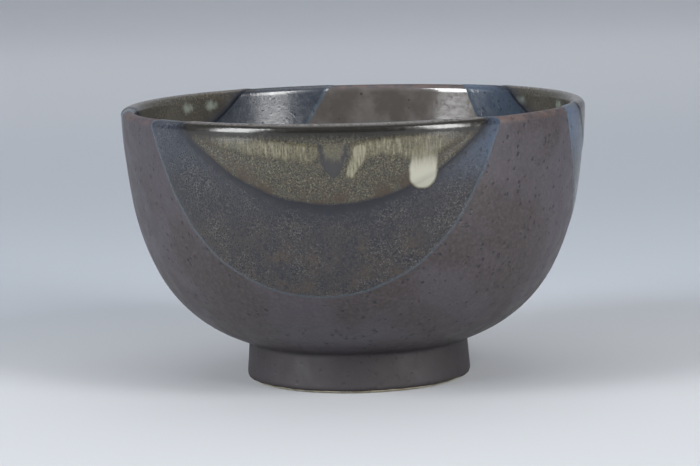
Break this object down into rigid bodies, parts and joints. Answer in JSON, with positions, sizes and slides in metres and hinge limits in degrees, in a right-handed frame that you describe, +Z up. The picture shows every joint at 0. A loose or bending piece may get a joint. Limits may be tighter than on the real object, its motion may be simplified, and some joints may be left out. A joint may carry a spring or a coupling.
{
  "type": "matcha bowl",
  "caption": "Round stoneware tea bowl with upright walls on a low foot ring, dark satin glaze outside and dipped blue, ochre and cream glazes at the rim.",
  "frame": {"origin": "centre of the circle that the foot ring rests on, at table height", "axes": "+Z up along the bowl's axis; the front dip with its cream runs faces -Y"},
  "size_m": [0.1216, 0.1212, 0.0721],
  "materials": {
    "clay": "unglazed fired stoneware, seen only round the resting edge of the foot",
    "inside_glaze": "smooth gloss, dark brown",
    "outside_glaze": "satin, gunmetal brown with fine dark specks",
    "blue_glaze": "satin gloss, slate blue mottled with dark specks",
    "ochre_glaze": "gloss, speckled olive ochre",
    "cream_glaze": "gloss, milky cream"
  },
  "bodies": {
    "root": {"stoneware_bowl": "clay", "foot_ring": "clay", "inside_glaze": "inside_glaze", "outside_glaze": "outside_glaze", "foot_recess_glaze": "outside_glaze", "blue_dip_front": "blue_glaze", "ochre_dip_front": "ochre_glaze", "cream_runs_front": "cream_glaze", "blue_dip_right": "blue_glaze", "ochre_dip_right": "ochre_glaze", "cream_runs_right": "cream_glaze", "blue_dip_back": "blue_glaze", "ochre_dip_back": "ochre_glaze", "cream_runs_back": "cream_glaze"}
  },
  "joints": []
}
